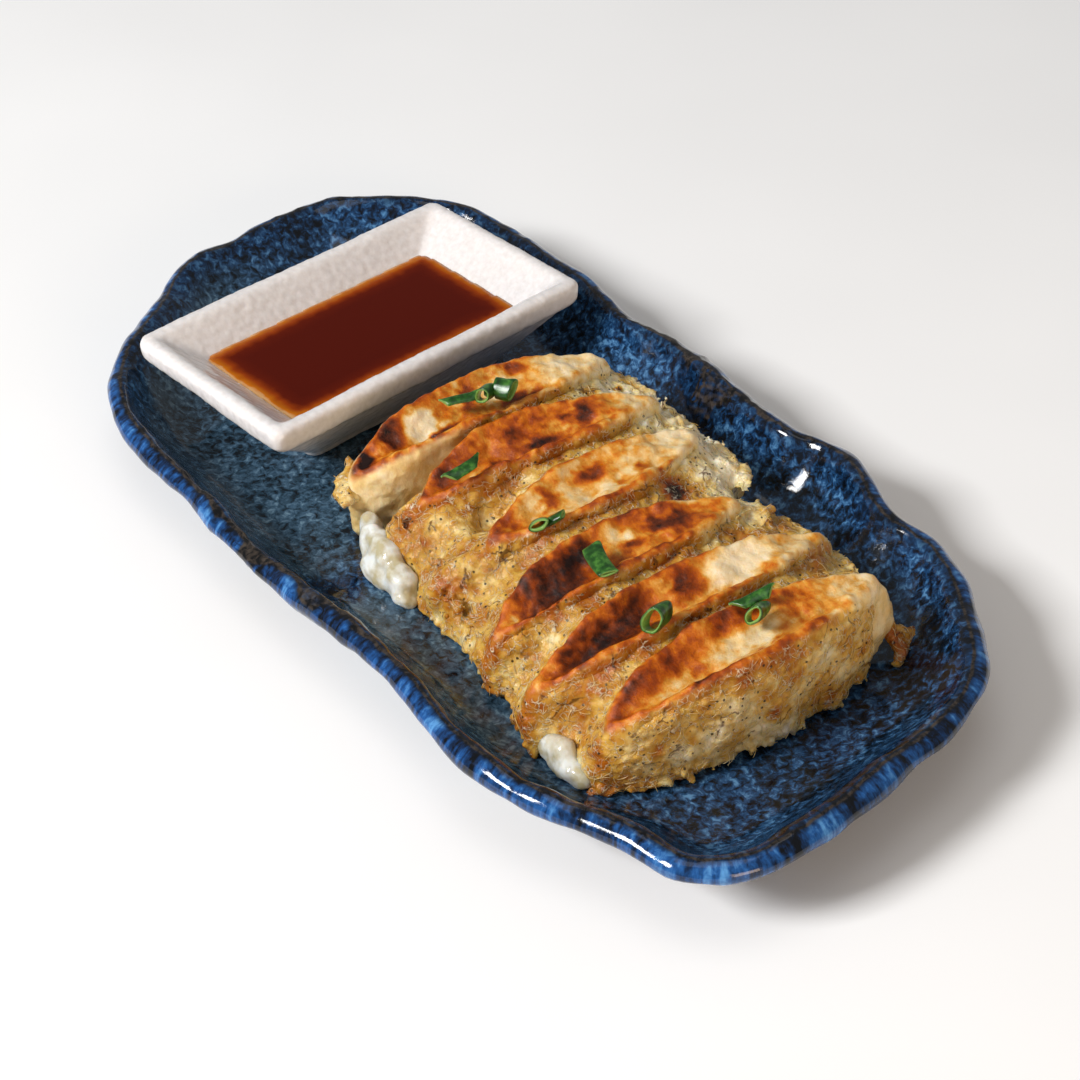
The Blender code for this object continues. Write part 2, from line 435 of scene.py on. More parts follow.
# %% Glaze on the bevel and the flank
cells = add(
    tree, "TexNoise", {"Vector": combed_node, "Scale": per_mm(9), "Detail": 2.0, "Roughness": 0.5}
)
streaks = add(
    tree, "TexNoise",
    {"Vector": combed_node, "Scale": per_mm(1.6), "Detail": 3.0, "Roughness": 0.55},
)
streaked = add(tree, "Math", {0: streaks, 1: 0.45}, operation="MULTIPLY")
celled = add(tree, "Math", {0: cells, 1: 0.4, 2: streaked}, operation="MULTIPLY_ADD")
broken = add(tree, "Math", {0: flakes, 1: 0.25, 2: celled}, operation="MULTIPLY_ADD")
bevel = add(
    tree, "ValToRGB", {0: broken},
    stops=[(0.44, "#03060d"), (0.51, "#0d2a50"), (0.59, "#1f5290"), (0.7, "#5590c8")],
)
flank = add(tree, "ValToRGB", {0: broken}, stops=[(0.5, "#05070b"), (0.68, "#16355a")])
clay = add(tree, "ValToRGB", {0: flakes}, stops=[(0.4, "#08090b"), (0.64, "#463d35")])
print("with bevel, flank and clay", len(tree.nodes), "nodes")

# %% Where each glaze lies
# these numbers are the distance in mm / 100 + 0.5: 0.5 is the crest, and 0.01 is 1 mm
on_bevel = add(
    tree, "ValToRGB", {0: out_node}, stops=[(0.505, 0.0), (0.516, 1.0), (0.538, 1.0), (0.55, 0.0)]
)
on_flank = add(tree, "ValToRGB", {0: out_node}, stops=[(0.5, 0.0), (0.51, 1.0)])
rough_edge = add(tree, "TexNoise", {"Vector": where, "Scale": per_mm(3), "Detail": 3.0})
shifted = add(tree, "Math", {0: rough_edge, 1: 0.01, 2: out_node}, operation="MULTIPLY_ADD")
on_crest = add(
    tree, "ValToRGB", {0: shifted}, stops=[(0.501, 0.0), (0.504, 1.0), (0.508, 1.0), (0.511, 0.0)]
)
inner = add(tree, "ValToRGB", {0: out_node}, stops=[(0.46, 0.0), (0.497, 0.8)])
colour = body_colour
for mask, layer in ((inner, flank), (on_flank, flank), (on_bevel, bevel), (on_crest, clay)):
    colour = add(tree, "Mix", {FACTOR: mask, COLOUR_A: colour, COLOUR_B: layer}, data_type="RGBA")
gloss = add(tree, "MapRange", {0: flakes, 3: 0.04, 4: 0.14})
relief = add(tree, "Bump", {"Height": flakes, "Strength": 0.22, "Distance": 0.2 * MM})
finish = {"Base Color": colour, "Roughness": gloss, "IOR": 1.5, "Normal": relief}
set_inputs(tree, shader, finish)
piece(plate, "stoneware_plate", glaze, ["plate"])

# %% [markdown]
# ## The sauce dish and its dip
#
# Slip-cast porcelain with a thick rolled lip and a cloth-like dimpling under its glaze. A
# subdivision would round its corners too far, so a small bevel rounds its edges, and a voxel
# remesh gives the even faces that a fine Displace needs for the dimples, which are real
# relief. The dip creeps up the wall at its edge. It looks orange only where it is shallow,
# so the distance to the wall is painted on it and read as depth.

# %% Dish shape
dish = copy_of(["sauce_dish"], "dish_work")
EDGE, SHARP = 0.5, math.radians(28)  # width of the rounding, and the angle that counts as sharp
modify(dish, "BEVEL", width=EDGE * MM, segments=2, limit_method="ANGLE", angle_limit=SHARP)
modify(dish, "REMESH", mode="VOXEL", voxel_size=0.75 * MM)
modify(dish, "SMOOTH", factor=0.5, iterations=6)
# name, width, noise depth and height of its dimples, and of the sag from firing
for name, width, depth, height in (("dimples", 1.9, 1, 0.34), ("dish_sag", 17, 0, 0.5)):
    relief = lumps(name, "CLOUDS", width, noise_depth=depth)
    modify(dish, "DISPLACE", texture=relief, strength=height * MM, mid_level=0.5)
print("dish", len(dish.data.polygons), "faces")

# %% Porcelain
porcelain, tree, shader, where = new_material("porcelain_clear_glaze")
fleck = add(tree, "TexNoise", {"Vector": where, "Scale": per_mm(1.5), "Detail": 3.0})
paste = add(tree, "ValToRGB", {0: fleck}, stops=[(0.3, "#dfdad8"), (0.65, "#ebe7e6")])
relief = add(tree, "Bump", {"Height": fleck, "Strength": 0.25, "Distance": 0.12 * MM})
finish = {
    "Base Color": paste,
    "Roughness": 0.16,
    "IOR": 1.5,
    "Subsurface Weight": 0.12,
    "Subsurface Radius": (1.0, 0.8, 0.6),
    "Subsurface Scale": 1.5 * MM,
    "Normal": relief,
}
set_inputs(tree, shader, finish)
piece(dish, "porcelain_dish", porcelain, ["sauce_dish"])

# %% Dip shape
dip = copy_of(["dipping_sauce"], "dip_work")
modify(dip, "REMESH", mode="VOXEL", voxel_size=0.9 * MM)
modify(dip, "SMOOTH", factor=0.5, iterations=4)
INTO_WALL = 1.1  # the liquid's sides reach this far into the wall, so that no gap shows
place_points(dip, points_of(dip) + INTO_WALL * normals_of(dip) * np.array([1, 1, 0]))
dip_low, dip_high = (np.array(corner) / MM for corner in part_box("dipping_sauce"))
DISH_TURN = math.radians(5.5)  # the dish stands a little askew on the plate
DIP_HALF = np.array([20.85, 38.1])  # half the dip's width and length, where the wall begins
CREEP_WIDE, CREEP_HIGH = 0.9, 0.35
centre = (dip_low + dip_high) / 2
spots = points_of(dip)
x, y = (spots[:, :2] - centre[:2]).T
turn_cos, turn_sin = math.cos(DISH_TURN), math.sin(DISH_TURN)
local = np.stack([x * turn_cos + y * turn_sin, y * turn_cos - x * turn_sin], 1)
to_wall = (DIP_HALF - np.abs(local)).min(1) + 0.5 * wander(spots, 2.2, 3)
to_wall += 0.4 * wander(spots, 9, 8)
surface = step(dip_high[2] - 1.5, dip_high[2] - 0.5, spots[:, 2])
spots[:, 2] += CREEP_HIGH * (surface * np.exp(-np.clip(to_wall, 0, 9) / CREEP_WIDE))
place_points(dip, spots)
paint(dip, "depth", np.clip(to_wall / 10, 0, 1))
print("dip", len(dip.data.polygons), "faces, from", dip_low, "to", dip_high)

# %% Dip material
sauce, tree, shader, _ = new_material("soy_vinegar_dip_liquid")
deep = add(tree, "Attribute", attribute_name="depth").outputs["Fac"]
shade = add(
    tree,
    "ValToRGB",
    {0: deep},
    stops=[
        (0.0, "#c79a68"), (0.06, "#b8660f"), (0.26, "#8c3604"), (0.46, "#5c1602"), (0.8, "#480b01"),
    ],
)
thick = add(tree, "ValToRGB", {0: deep}, stops=[(0.3, 0.0), (0.7, 0.5)])
murk = add(tree, "Mix", {FACTOR: thick, COLOUR_A: shade, COLOUR_B: "#551304"}, data_type="RGBA")
finish = {"Base Color": murk, "Roughness": 0.05, "IOR": 1.34, "Specular IOR Level": 0.16}
set_inputs(tree, shader, finish)
piece(dip, "soy_dip", sauce, ["dipping_sauce"])

# %% [markdown]
# ## The dumplings
#
# Each gyoza was fried on the face that now looks up. The face is flat with a slightly
# raised, browned rim; the sides are soft wrapper, lumpy from the filling and pitted by
# steam. The CAD solid gives the place and size. A voxel remesh turns its long thin faces
# into even small ones, which then take relief from Displace modifiers.

# %% Where each dumpling lies
# x, y, angle from +X (degrees), length, width, bow of its middle towards the dish
DUMPLINGS = [
    (-11.9, 0.0, 87.0, 76, 19.6, 1.3),
    (9.4, 3.0, 83.5, 68, 18.2, 1.4),
    (31.6, 4.2, 91.0, 64, 19.0, -2.0),
    (58.4, -9.5, 88.0, 71, 18.0, 1.4),
    (79.2, -8.0, 88.0, 82, 16.4, -0.4),
    (99.8, -6.0, 87.0, 76, 18.4, 0.0),
]
TIP_POWER = 1.72  # 2 would make each outline an ellipse, less makes its tips sharper
FACE_TOP = 35.0
# how far each face slopes across, and how far its -Y and +Y tips hang down
FACE_FALLS = [
    (0.04, 9, 3),
    (0.04, 9, 3),
    (0.02, 6, 3),
    (0.04, 10, 3.5),
    (0.04, 10, 4),
    (0.04, 10, 2.5),
]
print("dumplings", len(DUMPLINGS), "from x", DUMPLINGS[0][0], "to", DUMPLINGS[-1][0])

# %% How brown each face is
# for each dumpling: how brown its face is all over, and its patches, each as place along
# and across the face (-1 to 1), reach along and across, and how much browner it is there
FACES = [
    (0.36, [
        (-0.86, -0.15, 0.05, 0.3, 0.9),
        (-0.62, -0.3, 0.12, 0.5, 0.42),
        (-0.42, -0.15, 0.12, 0.36, -0.62),
        (-0.28, 0.45, 0.17, 0.26, 0.46),
        (-0.5, -0.75, 0.3, 0.3, 0.12),
        (0.0, -0.4, 0.08, 0.3, 0.34),
        (0.2, -0.05, 0.12, 0.34, -0.36),
        (0.36, -0.45, 0.11, 0.3, 0.4),
        (0.34, 0.45, 0.13, 0.2, 0.34),
        (0.8, 0.0, 0.36, 1.2, -0.26),
        (-0.75, 0.6, 0.3, 0.3, -0.1),
    ]),
    (0.47, [
        (-0.76, -0.4, 0.11, 0.45, 0.3),
        (-0.42, 0.45, 0.15, 0.3, 0.42),
        (-0.74, 0.5, 0.09, 0.3, 0.3),
        (-0.6, 0.1, 0.06, 0.24, -0.16),
        (-0.12, -0.35, 0.1, 0.3, 0.14),
        (0.03, 0.3, 0.13, 0.25, 0.4),
        (0.42, -0.15, 0.1, 0.34, 0.46),
        (0.2, -0.1, 0.1, 0.3, -0.12),
        (0.85, 0.0, 0.26, 1.0, -0.26),
    ]),
    (0.26, [
        (-0.9, 0.0, 0.17, 1.0, 0.5),
        (-0.86, 0.0, 0.05, 0.3, -0.3),
        (-0.42, -0.15, 0.08, 0.3, 0.34),
        (0.02, -0.4, 0.13, 0.26, 0.4),
        (-0.3, 0.9, 0.6, 0.16, 0.36),
        (0.33, 0.25, 0.07, 0.26, 0.3),
        (0.14, 0.3, 0.05, 0.2, 0.22),
        (-0.1, 0.2, 0.3, 0.4, -0.08),
        (0.85, 0.0, 0.3, 1.0, -0.12),
    ]),
    (0.48, [
        (-0.45, -0.2, 0.26, 0.6, 0.34),
        (-0.6, 0.4, 0.2, 0.4, 0.2),
        (-0.18, -0.5, 0.08, 0.3, 0.36),
        (0.12, -0.35, 0.12, 0.5, -0.36),
        (0.19, 0.05, 0.05, 0.18, 0.3),
        (0.5, -0.1, 0.13, 0.36, 0.3),
        (0.32, -0.1, 0.07, 0.4, -0.22),
        (-0.1, 0.85, 0.6, 0.14, 0.26),
        (-0.84, 0.1, 0.06, 0.3, -0.18),
        (0.9, 0.0, 0.2, 1.0, -0.14),
    ]),
    (0.42, [
        (-0.4, 0.0, 0.15, 0.6, 0.4),
        (-0.64, 0.1, 0.14, 0.5, 0.38),
        (-0.25, -0.4, 0.12, 0.4, 0.26),
        (-0.85, 0.3, 0.08, 0.3, 0.3),
        (0.1, -0.35, 0.09, 0.3, 0.32),
        (0.42, -0.1, 0.24, 0.55, -0.46),
        (0.05, 0.5, 0.12, 0.3, -0.14),
        (0.85, 0.0, 0.26, 1.0, -0.2),
    ]),
    (0.4, [
        (-0.5, -0.45, 0.2, 0.4, 0.18),
        (-0.76, -0.5, 0.12, 0.4, 0.34),
        (-0.45, 0.15, 0.24, 0.3, -0.2),
        (-0.3, 0.1, 0.04, 0.16, 0.26),
        (0.05, -0.75, 0.22, 0.3, 0.22),
        (0.02, 0.1, 0.22, 0.5, -0.3),
        (-0.36, 0.85, 0.2, 0.14, 0.4),
        (0.1, 0.9, 0.6, 0.22, 0.1),
        (-0.9, 0.2, 0.08, 0.5, 0.24),
        (0.85, 0.0, 0.26, 1.0, -0.22),
    ]),
]
print("patches on the faces", [len(patches) for _, patches in FACES])


# %% Measuring on a face
def on_face(points, number):
    """Along and across a dumpling's face, -1 to 1, and millimetres in from its outline."""
    x, y, angle, length, width, bow = DUMPLINGS[number]
    turned = math.radians(angle - 90)
    dx, dy = points[:, 0] - x, points[:, 1] - y
    along = (dy * math.cos(turned) - dx * math.sin(turned)) / (length / 2)
    across = dx * math.cos(turned) + dy * math.sin(turned)
    across = (across + bow * (1 - np.clip(along, -1, 1) ** 2)) / (width / 2)
    a, c = np.abs(along) + 1e-4, np.abs(across) + 1e-4
    size = (a**TIP_POWER + c**TIP_POWER) ** (1 / TIP_POWER)
    slope = size ** (1 - TIP_POWER) * np.hypot(
        a ** (TIP_POWER - 1) / (length / 2), c ** (TIP_POWER - 1) / (width / 2)
    )
    return along, across, (1 - size) / slope


def face_height(along, across, number):
    """Height of a fried face at these places along and across it."""
    slope, left_drop, right_drop = FACE_FALLS[number]
    drop = np.where(along < 0, left_drop, right_drop) * np.minimum(np.abs(along), 1.2) ** 2.6
    return FACE_TOP - drop - slope * across * DUMPLINGS[number][4] / 2


BROWN_KNEE = 0.66  # above this, a patch darkens only about half as fast


def browning(points, number):
    """How brown each point of a dumpling is, from 0, cream, to 1, burnt."""
    along, across, inside = on_face(points, number)
    shake_a, shake_c = wander(points, 5, 11 + number), wander(points, 5, 31 + number)
    fine = wander(points, 1.7, 51 + number)
    base, patches = FACES[number]
    brown = base - 0.05 + 0.1 * shake_a + 0.1 * fine
    for place_a, place_c, reach_a, reach_c, change in patches:
        gap_a = (along + 0.05 * shake_a + 0.02 * fine - place_a) / reach_a
        gap_c = (across + 0.16 * shake_c + 0.06 * fine - place_c) / reach_c
        brown += change * np.exp(-((gap_a**2 + gap_c**2) ** 1.4))
    brown = np.where(brown > BROWN_KNEE, BROWN_KNEE + (brown - BROWN_KNEE) * 0.55, brown)
    edge = step(2.6, 0.6, inside + 0.8 * shake_c)
    golden = 0.43 + 0.14 * fine + 0.12 * shake_a - 0.34 * step(0.3, 0.8, along)
    return brown * (1 - 0.75 * edge) + golden * 0.75 * edge, inside


# %% Where the sides and the lace are browner, and one patch of painted shade
# x, y, z, reach and how much browner it is there; one row is painted shade
LACE_PATCHES_AND_HOLE_SHADE = [
    (109, -24, 15, 17, -0.12),
    (109, 8, 16, 17, -0.1),
    (104, -34, 18, 2.2, 0.4),
    (106, -26, 19, 1.8, 0.36),
    (109, -6, 18, 2.4, 0.4),
    (106, 17, 18, 2.0, 0.36),
    (27, -42, 20, 6.0, 0.2),
    (35, -42, 18, 5.0, 0.12),
    (20, -31, 27, 7.0, -0.06),
    (5, -35, 20, 6.0, 0.04),
    (105, 40, 11, 8.0, 0.16),
    (107, 37, 10, 2.0, 0.3),
    # painted shade: this dark patch stands in for a shaded hole in the lace between dumplings 3 and 4
    (45, 19, 30, 3.2, 0.9),
    (-2, 37, 27, 1.3, 0.9),
    (2, 38, 26, 14.0, -0.26),
    (26, 40, 26, 12.0, -0.28),
    (43, 36, 26, 11.0, -0.28),
    (57, 28, 28, 8.0, -0.18),
    (80, 34, 24, 8.0, -0.1),
    (92, -44, 12, 5.0, -0.2),
    (-16, -38, 23, 7.0, -0.1),
]
TIP_TOAST = 0.22  # how much browner the batter is at the -Y tips
CRISP_KNEE = 0.52  # above this, batter darkens only half as fast


def lace_browning_and_shade(points):
    """How brown batter is at each point: by patch, one of them painted shade, golden at the faces'
    rims and at the tips.
    """
    brown = 0.31 + 0.17 * wander(points, 6, 4) + 0.1 * wander(points, 1.8, 5)
    for x, y, z, reach, change in LACE_PATCHES_AND_HOLE_SHADE:
        gap = ((points - np.array([x, y, z])) ** 2).sum(1) / reach**2
        # the patches brown the batter, and one of them paints shade where the lace has a hole
        brown += change * np.exp(-(gap**1.3))
    for number in range(len(DUMPLINGS)):
        along, across, inside = on_face(points, number)
        rim_gold = 0.16 - 0.22 * step(0.2, 0.7, along)
        brown += rim_gold * np.exp(-((inside / 1.6) ** 2)) * step(22, 30, points[:, 2])
        at_tip = np.exp(-(((along + 1.06) / 0.14) ** 2 + (across / 0.34) ** 2))
        brown += TIP_TOAST * at_tip * (number > 0)
    brown = np.where(brown > CRISP_KNEE, CRISP_KNEE + (brown - CRISP_KNEE) * 0.5, brown)
    return np.clip(brown, 0, 1)


print("patches on the batter", len(LACE_PATCHES_AND_HOLE_SHADE))

# %% Dumpling shapes
DOUGH_VOXEL = 0.72
dough_lumps = lumps("dough_lumps", "CLOUDS", 12, noise_depth=1)
dough_folds = lumps("dough_folds", "CLOUDS", 4.5, noise_depth=1)
steam_pits = lumps("steam_pits", "CLOUDS", 1.6, noise_depth=1)
# the dumplings whose wrapper shows bare, and between which places along them it turns bare
BARE = {0: (-0.1, -0.5), 5: (0.72, 0.86)}
RIM_HIGH, BLISTER_HIGH, BURNT_LOW = 0.45, 0.25, 0.35  # relief of the face


def make_dumpling(number):
    """One dumpling: even mesh, raised rim, lumpy sides, and its browning painted on."""
    dumpling = copy_of([f"gyoza_{number + 1}"], "dumpling_work")
    modify(dumpling, "REMESH", mode="VOXEL", voxel_size=DOUGH_VOXEL * MM)
    modify(dumpling, "SMOOTH", factor=0.5, iterations=14)
    spots = points_of(dumpling)
    facing = normals_of(dumpling)[:, 2]
    along, _, inside = on_face(spots, number)
    well_inside = step(0.6, 1.6, inside) * step(0.0, 0.25, facing)
    top = np.maximum(step(0.3, 0.8, facing), well_inside) * step(17, 22, spots[:, 2])
    weigh(dumpling, "side", 1 - 0.8 * top)
    modify(dumpling, "DISPLACE", texture=dough_lumps, strength=2.6 * MM, mid_level=0.45)
    modify(dumpling, "DISPLACE", texture=dough_folds, strength=1.3 * MM, mid_level=0.45)
    pitting = {"strength": 0.6 * MM, "mid_level": 0.5, "vertex_group": "side"}
    modify(dumpling, "DISPLACE", texture=steam_pits, **pitting)
    spots = points_of(dumpling)
    brown, inside = browning(spots, number)
    blister = wander(spots, 2.4, 71 + number)
    rim = np.exp(-(((inside - 1.6) / 1.2) ** 2))
    burnt = step(0.5, 0.9, brown)
    spots[:, 2] += top * (RIM_HIGH * rim + BLISTER_HIGH * blister - BURNT_LOW * burnt)
    place_points(dumpling, spots)
    bare = step(*BARE[number], along) if number in BARE else np.zeros(len(along))
    shown = np.clip(top * step(-1.2, 0.4, inside + 0.5 * blister), 0, 1)
    paint(dumpling, "brown", np.clip(brown, 0, 1))
    paint(dumpling, "face", shown)
    paint(dumpling, "bare", bare)
    paint(dumpling, "crisp_and_shade", lace_browning_and_shade(spots))
    return dumpling


dumplings = [make_dumpling(number) for number in range(len(DUMPLINGS))]
print("dumplings", [len(d.data.polygons) for d in dumplings])

# %% [markdown]
# ### Fried dough and batter
#
# Two finishes share one surface. The face that lay in the pan is wheat wrapper fried in oil:
# cream, gold, orange and brown in the order in which dough browns. Its sides are coated with
# dried starch batter: half clear and pale where thick, amber where thin, with bubble walls,
# pinholes that look like pepper, and a few dark cracks. Light goes a millimetre into both.


# %% Batter look
def batter_look(tree, where):
    """The pattern of dried batter: its colour and its height."""
    # the batter's browning, with one patch of painted shade for a hole in the lace
    crisp_and_shade_node = add(tree, "Attribute", attribute_name="crisp_and_shade").outputs["Fac"]
    walls = add(tree, "TexVoronoi", {"Vector": where, "Scale": per_mm(2.0)}, feature="SMOOTH_F1")
    mottle = add(
        tree, "TexNoise", {"Vector": where, "Scale": per_mm(2.2), "Detail": 5.0, "Roughness": 0.68}
    )
    mixed = add(tree, "Math", {0: mottle, 1: 0.46, 2: crisp_and_shade_node}, operation="MULTIPLY_ADD")
    batter = add(
        tree,
        "ValToRGB",
        {0: mixed},
        stops=[
            (0.14, "#f3ecdb"), (0.34, "#ead293"), (0.48, "#d6a94c"), (0.62, "#bd8228"),
            (0.78, "#aa5c10"), (0.9, "#6f300d"), (1.0, "#24110a"),
        ],
    )
    pinholes = add(tree, "TexVoronoi", {"Vector": where, "Scale": per_mm(2.2)})
    pricks = add(tree, "ValToRGB", {0: pinholes}, stops=[(0.13, 0.9), (0.19, 0.0)])
    pricked = add(
        tree, "Mix", {FACTOR: pricks, COLOUR_A: batter, COLOUR_B: "#2a1a0c"}, data_type="RGBA"
    )
    warp = add(tree, "TexNoise", {"Vector": where, "Scale": per_mm(5), "Detail": 3.0})
    warped = add(
        tree, "Mix", {FACTOR: 0.006, 4: where, 5: warp.outputs["Color"]}, data_type="VECTOR"
    )
    plates = add(
        tree, "TexVoronoi", {"Vector": warped, "Scale": per_mm(9)}, feature="DISTANCE_TO_EDGE"
    )
    line = add(tree, "ValToRGB", {0: plates}, stops=[(0.008, 1.0), (0.035, 0.0)])
    some = add(tree, "ValToRGB", {0: warp}, stops=[(0.53, 0.0), (0.6, 0.75)])
    crack = add(tree, "Math", {0: line, 1: some}, operation="MULTIPLY")
    webs = add(
        tree, "TexVoronoi", {"Vector": warped, "Scale": per_mm(1.7)}, feature="DISTANCE_TO_EDGE"
    )
    film = add(tree, "ValToRGB", {0: webs}, stops=[(0.02, 1.0), (0.1, 0.0)])
    torn = add(tree, "ValToRGB", {0: mottle}, stops=[(0.46, 0.0), (0.6, 0.75)])
    walled = add(tree, "Math", {0: film, 1: torn}, operation="MULTIPLY")
    webbed = add(
        tree, "Mix", {FACTOR: walled, COLOUR_A: pricked, COLOUR_B: "#f3e7c8"}, data_type="RGBA"
    )
    cracked = add(
        tree, "Mix", {FACTOR: crack, COLOUR_A: webbed, COLOUR_B: "#4a220c"}, data_type="RGBA"
    )
    grainy = add(tree, "Math", {0: mottle, 1: 0.8, 2: walls}, operation="MULTIPLY_ADD")
    raised = add(tree, "Math", {0: walled, 1: 0.5, 2: grainy}, operation="MULTIPLY_ADD")
    return cracked, raised


# %% Dough colours
dough, tree, shader, where = new_material("wheat_wrapper_pan_fried")
brown_node = add(tree, "Attribute", attribute_name="brown").outputs["Fac"]
face_node = add(tree, "Attribute", attribute_name="face").outputs["Fac"]
bare_node = add(tree, "Attribute", attribute_name="bare").outputs["Fac"]
batter_colour, batter_height = batter_look(tree, where)
speckle = add(
    tree, "TexNoise", {"Vector": where, "Scale": per_mm(1.5), "Detail": 6.0, "Roughness": 0.7}
)
toasted = add(tree, "Math", {0: speckle, 1: 0.44, 2: brown_node}, operation="MULTIPLY_ADD")
crust = add(
    tree,
    "ValToRGB",
    {0: toasted},
    stops=[
        (0.14, "#f4e4c4"), (0.34, "#edca8a"), (0.48, "#dd9a38"), (0.6, "#c96a08"),
        (0.73, "#9c4204"), (0.88, "#602607"), (1.0, "#1f0a05"),
    ],
)
tone = add(
    tree, "TexNoise", {"Vector": where, "Scale": per_mm(7), "Detail": 4.0, "Roughness": 0.6}
)
# pale cream of the bare wrapper, painted lighter as painted light, so bare sides look lit in shade
steamed_with_painted_light = add(
    tree, "ValToRGB", {0: tone}, stops=[(0.3, "#e6bf74"), (0.5, "#f2d597"), (0.7, "#fae9c0")]
)
sided = add(
    tree, "Mix", {FACTOR: bare_node, COLOUR_A: batter_colour, COLOUR_B: steamed_with_painted_light}, data_type="RGBA"
)
faced = add(tree, "Mix", {FACTOR: face_node, COLOUR_A: sided, COLOUR_B: crust}, data_type="RGBA")
print("dough", len(tree.nodes), "nodes")

# %% Dough finish
oil = add(tree, "MapRange", {0: speckle, 1: 0.3, 2: 0.7, 3: 0.22, 4: 0.42})
wet = add(tree, "Mix", {0: bare_node, 2: oil, 3: 0.16}, data_type="FLOAT")
smooth_part = add(tree, "Math", {0: face_node, 1: bare_node}, operation="MAXIMUM")
height = add(tree, "Mix", {0: smooth_part, 2: batter_height, 3: speckle}, data_type="FLOAT")
relief = add(tree, "Bump", {"Height": height, "Strength": 0.75, "Distance": 0.5 * MM})
finish = {
    "Base Color": faced,
    "Roughness": wet,
    "IOR": 1.45,
    "Specular IOR Level": 0.4,
    "Subsurface Weight": 0.25,
    "Subsurface Radius": (1.0, 0.55, 0.25),
    "Subsurface Scale": 1.6 * MM,
    "Normal": relief,
}
set_inputs(tree, shader, finish)
for number, dumpling in enumerate(dumplings, start=1):
    piece(dumpling, f"fried_gyoza_{number}", dough, [f"gyoza_{number}"])

# %% [markdown]
# ## The crisp lace
#
# Batter poured round gyoza boils dry and leaves a bubbly, brittle lace that joins them. It
# could be a flat sheet, but on the plate it wraps the dumplings' sides and fills the gaps
# between their tips. So copies of the dumplings are lowered, puffed up until their gaps
# close and drawn in again, which leaves the gaps filled; ramps make the aprons at the tips,
# and hundreds of small beads make the ragged hems before one last fine remesh.

# %% Helpers for the parts of the lace
PLATE_FLOOR = 7.3  # the height on which the food lies


def half_of(node, plane_y_mm, keep):
    """A copy of a dumpling cut across, keeping its +Y part (keep 1) or its -Y part (keep -1)."""
    part = copy_of([node], "lace_part")
    edit_all(part)
    bpy.ops.mesh.bisect(
        plane_co=(0, plane_y_mm * MM, 0), plane_no=(0, keep, 0), use_fill=True, clear_inner=True
    )
    end_edit()
    return part


def ramp(x_low, x_high, y_inner, y_outer, z_inner, z_outer, z_under):
    """A ramp of batter: a cube whose outer edge runs from z_under up to z_outer."""
    bpy.ops.mesh.primitive_cube_add(size=1)
    block = bpy.context.object
    corners = points_of(block) * MM
    x = np.where(corners[:, 0] < 0, x_low, x_high)
    y = np.where(corners[:, 1] < 0, y_inner, y_outer)
    top = np.where(corners[:, 1] < 0, z_inner, z_outer)
    under = np.where(corners[:, 1] < 0, PLATE_FLOOR + 0.2, z_under)
    z = np.where(corners[:, 2] < 0, under, top)
    place_points(block, np.stack([x, y, z], 1))
    edit_all(block)
    bpy.ops.mesh.normals_make_consistent(inside=False)
    end_edit()
    return block


def join(parts, name):
    """Make one object of several."""
    only(parts[0])
    for part in parts:
        part.select_set(True)
    bpy.ops.object.join()
    bpy.context.object.name = name
    return bpy.context.object


# %% Helpers for beads and threads
def copies_of(model, places, name):
    """Copies of one small mesh at these matrices, as one new object."""
    base = np.c_[points_of(model), np.ones(len(model.data.vertices))]
    faces = [tuple(p.vertices) for p in model.data.polygons]
    points, polygons = [], []
    for matrix in places:
        start = len(points)
        points.extend((base @ np.array(matrix).T)[:, :3].tolist())
        polygons.extend([tuple(v + start for v in face) for face in faces])
    mesh = bpy.data.meshes.new(name)
    mesh.from_pydata([tuple(c * MM for c in p) for p in points], [], polygons)
    obj = bpy.data.objects.new(name, mesh)
    bpy.context.scene.collection.objects.link(obj)
    return obj


def along_line(line, share):
    """The point at this share of a line's length."""
    line = np.array(line, float)
    legs = np.r_[0, np.cumsum(np.linalg.norm(np.diff(line, axis=0), axis=1))]
    return np.array([np.interp(share * legs[-1], legs, line[:, axis]) for axis in range(3)])


# %% Lace body
lace = join(
    [
        copy_of([f"gyoza_{n}" for n in (2, 3, 4, 5)], "lace_middle"),
        half_of("gyoza_1", 9, 1),
        half_of("gyoza_6", 27, -1),
    ],
    "lace_work",
)
LOWERED = 0.89  # the lace stays below the fried faces
edit_all(lace)
bpy.ops.transform.resize(value=(1, 1, LOWERED), center_override=(0, 0, PLATE_FLOOR * MM))
end_edit()
# x from, x to, y inner, y outer, z inner, z outer, z under the outer edge; on the +Y side
# the lace stands out as a shelf
RAMPS = [
    (4, 24, -24, -35.5, 24, 15, 7.5),
    (19, 46, -26, -41, 24, 12, 7.5),
    (44, 66, -34, -42, 22, 11, 7.5),
    (66, 92, -38, -46, 20, 11, 7.5),
    (-12, 44, 28, 42, 28, 24, 18),
    (44, 66, 18, 33, 28, 24, 18),
    (66, 96, 24, 36, 28, 23.5, 18),
]
lace = join([lace] + [ramp(*row) for row in RAMPS], "lace_work")
print("lace parts", len(lace.data.polygons), "faces")

